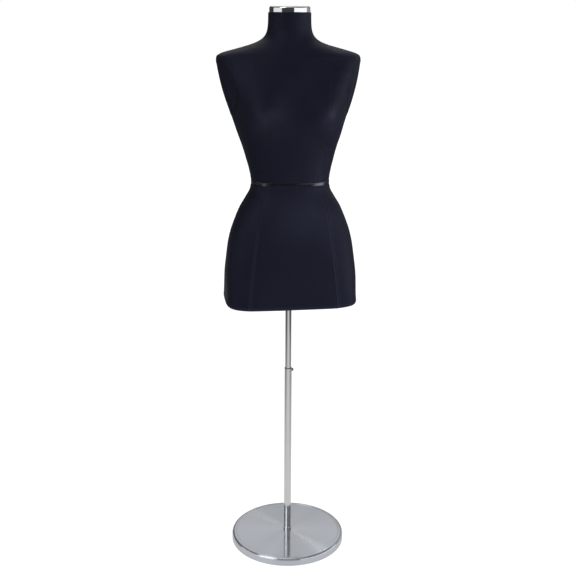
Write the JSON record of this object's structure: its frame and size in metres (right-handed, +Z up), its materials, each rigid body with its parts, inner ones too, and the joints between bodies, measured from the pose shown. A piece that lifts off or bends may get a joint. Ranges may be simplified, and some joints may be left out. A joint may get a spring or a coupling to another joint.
{
  "type": "dress form mannequin",
  "caption": "Headless female dress form in a sewn black cover, with a neck cap, on a telescopic metal pole and a round weighted base.",
  "frame": {"origin": "centre of the base's underside, on the floor", "axes": "+Z up along the pole, the chest faces -Y, +X towards the wearer's left side"},
  "size_m": [0.3536, 0.305, 1.415],
  "materials": {
    "black_jersey": "matte",
    "waist_ribbon": "gloss",
    "chrome": "polished",
    "spun_metal": "satin",
    "ballast_iron": "matte",
    "base_rubber": "matte",
    "nylon": "satin",
    "body_shell": "matte",
    "plywood": "matte",
    "zinc_steel": "satin",
    "brass": "satin",
    "black_steel": "satin"
  },
  "bodies": {
    "stand": {"base_pad": "base_rubber", "base_weight": "ballast_iron", "base_cover": "spun_metal", "base_bolt": "zinc_steel", "base_washer": "zinc_steel", "tube_plug": "zinc_steel", "lower_tube": "chrome", "foot_collar": "chrome", "guide_bush": "nylon", "clamp_boss": "zinc_steel"},
    "clamp_tip": {"clamp_pad": "brass"},
    "clamp_knob": {"clamp_screw": "black_steel"},
    "mast": {"upper_tube": "chrome", "tube_glide": "nylon", "tube_cap": "nylon"},
    "torso": {"bottom_board": "plywood", "socket_flange": "zinc_steel", "flange_screws": "zinc_steel", "body_front": "body_shell", "body_back": "body_shell", "neck_plate": "plywood", "neck_socket": "nylon", "panel_tacks": "zinc_steel", "waist_tape": "waist_ribbon", "cover_front_centre": "black_jersey", "cover_front_side_left": "black_jersey", "cover_front_side_right": "black_jersey", "cover_back_left": "black_jersey", "cover_back_right": "black_jersey", "cover_back_side_left": "black_jersey", "cover_back_side_right": "black_jersey", "cover_armhole_left": "black_jersey", "cover_armhole_right": "black_jersey", "cover_underside": "black_jersey"},
    "cap": {"neck_cap": "chrome", "cap_core": "plywood", "cap_peg": "plywood", "cap_screw": "zinc_steel"}
  },
  "joints": [
    {"name": "height_slide", "type": "slide", "parent": "stand", "child": "mast", "axis": [0, 0, 1], "range_m": [-0.095, 0.298]},
    {"name": "torso_swivel", "type": "hinge", "parent": "mast", "child": "torso", "pos_m": [0, 0, 0.7], "axis": [0, 0, 1], "continuous": true},
    {"name": "neck_cap_lift", "type": "slide", "parent": "torso", "child": "cap", "axis": [0, 0, 1], "range_m": [0, 0.04]},
    {"name": "screw_advance", "type": "slide", "parent": "stand", "child": "clamp_tip", "axis": [1, 0, 0], "range_m": [0, 0.0014]},
    {"name": "screw_turn", "type": "hinge", "parent": "clamp_tip", "child": "clamp_knob", "pos_m": [0.011, 0, 0.4945], "axis": [1, 0, 0], "range_deg": [0, 720]}
  ],
  "couplings": [
    {"joint": "screw_advance", "follows": "screw_turn", "m_per_rad": 0.00011141}
  ]
}
